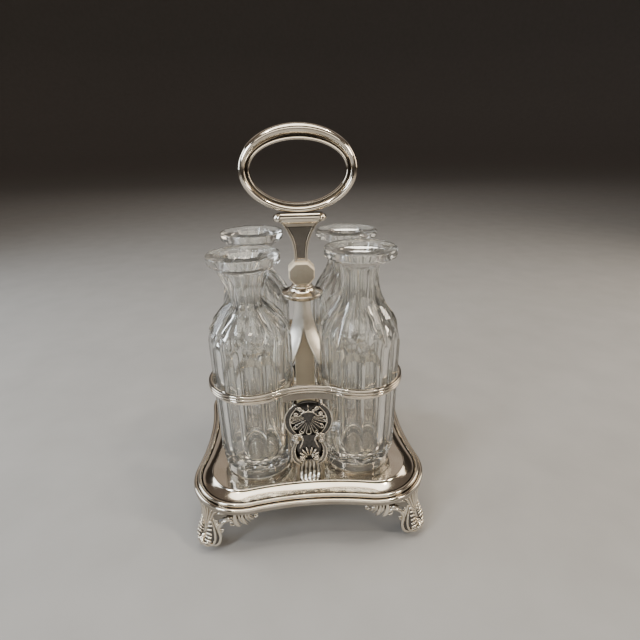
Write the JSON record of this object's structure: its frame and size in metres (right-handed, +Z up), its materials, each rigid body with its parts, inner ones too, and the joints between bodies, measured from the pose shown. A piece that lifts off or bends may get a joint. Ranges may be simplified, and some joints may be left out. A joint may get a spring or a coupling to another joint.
{
  "type": "cruet set",
  "caption": "Square footed cruet stand with a wavy gallery, tent pillar and oval loop handle, holding cut-glass bottles that lift out.",
  "frame": {"origin": "on the table under the middle of the tray", "axes": "+Z up through the tie rod, +X right, -Y towards the front; the loop handle lies in the XZ plane"},
  "size_m": [0.152, 0.152, 0.2484],
  "materials": {
    "polished_silver": "polished silver plate with light tarnish in the grooves",
    "cast_silver": "cast and chased silver plate, darker in the recesses",
    "steel_fittings": "plain turned steel",
    "cut_glass": "clear cut glass, polished"
  },
  "bodies": {
    "frame": {"base_floor": "polished_silver", "base_rim": "polished_silver", "base_border": "polished_silver", "foot_front_left": "cast_silver", "foot_front_right": "cast_silver", "foot_back_left": "cast_silver", "foot_back_right": "cast_silver", "bracket_front": "cast_silver", "bracket_back": "cast_silver", "bracket_left": "cast_silver", "bracket_right": "cast_silver", "bracket_nuts": "steel_fittings", "fascia_front": "polished_silver", "fascia_back": "polished_silver", "fascia_left": "polished_silver", "fascia_right": "polished_silver", "gallery_rail": "polished_silver", "ring_front_left": "polished_silver", "ring_front_right": "polished_silver", "ring_back_left": "polished_silver", "ring_back_right": "polished_silver", "strap_front_left": "polished_silver", "strap_front_right": "polished_silver", "strap_back_left": "polished_silver", "strap_back_right": "polished_silver", "column": "polished_silver", "tie_rod": "steel_fittings", "tie_washer": "steel_fittings", "tie_nut": "steel_fittings", "collar": "polished_silver", "neck": "polished_silver", "knop": "polished_silver", "stem": "polished_silver", "stem_cap": "polished_silver", "handle_loop": "polished_silver"},
    "bottle_front_left_body": {"bottle_front_left": "cut_glass"},
    "bottle_front_right_body": {"bottle_front_right": "cut_glass"},
    "bottle_back_left_body": {"bottle_back_left": "cut_glass"},
    "bottle_back_right_body": {"bottle_back_right": "cut_glass"}
  },
  "joints": [
    {"name": "lift_front_left", "type": "slide", "parent": "frame", "child": "bottle_front_left_body", "axis": [0, 0, 1], "range_m": [0, 0.08]},
    {"name": "lift_front_right", "type": "slide", "parent": "frame", "child": "bottle_front_right_body", "axis": [0, 0, 1], "range_m": [0, 0.08]},
    {"name": "lift_back_left", "type": "slide", "parent": "frame", "child": "bottle_back_left_body", "axis": [0, 0, 1], "range_m": [0, 0.08]},
    {"name": "lift_back_right", "type": "slide", "parent": "frame", "child": "bottle_back_right_body", "axis": [0, 0, 1], "range_m": [0, 0.08]}
  ]
}
